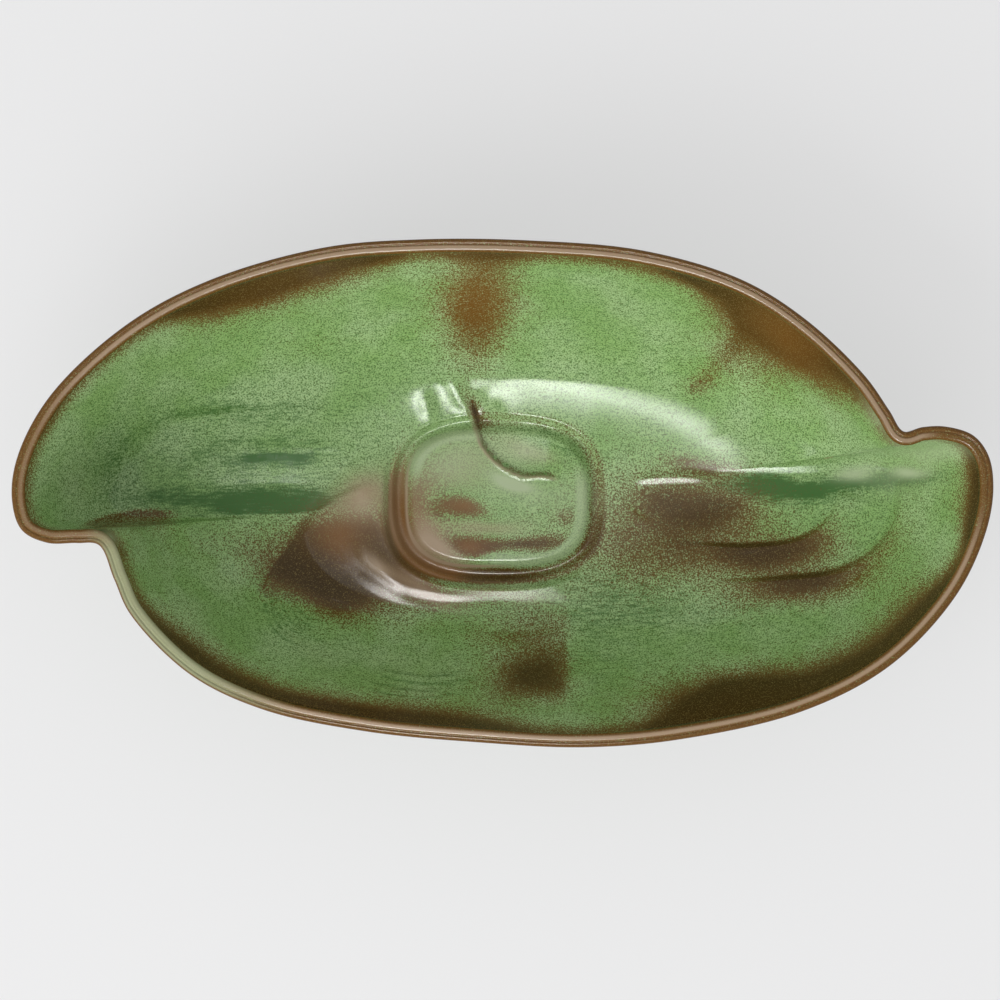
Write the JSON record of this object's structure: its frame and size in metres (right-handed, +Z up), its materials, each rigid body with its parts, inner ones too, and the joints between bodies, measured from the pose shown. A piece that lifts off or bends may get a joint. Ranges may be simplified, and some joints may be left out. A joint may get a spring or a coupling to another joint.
{
  "type": "oval serving bowl",
  "caption": "Long oval pottery serving bowl of two S-curved lobes, with a raised pad in the floor, terraced inner sides, a flat-cut rim and mottled green and brown glaze.",
  "frame": {"origin": "on the table, under the middle of the bowl's outline", "axes": "+X along the bowl to the picture's right, +Y across it to the picture's top, +Z up"},
  "size_m": [0.3299, 0.171, 0.068],
  "materials": {
    "bare_clay": "dry fired clay on the foot ring",
    "green_brown_glaze": "satin speckled glaze, green in the hollows and brown where it is thin"
  },
  "bodies": {
    "root": {"clay_body": "bare_clay", "glaze_coat": "green_brown_glaze", "foot_recess_glaze": "green_brown_glaze"}
  },
  "joints": []
}
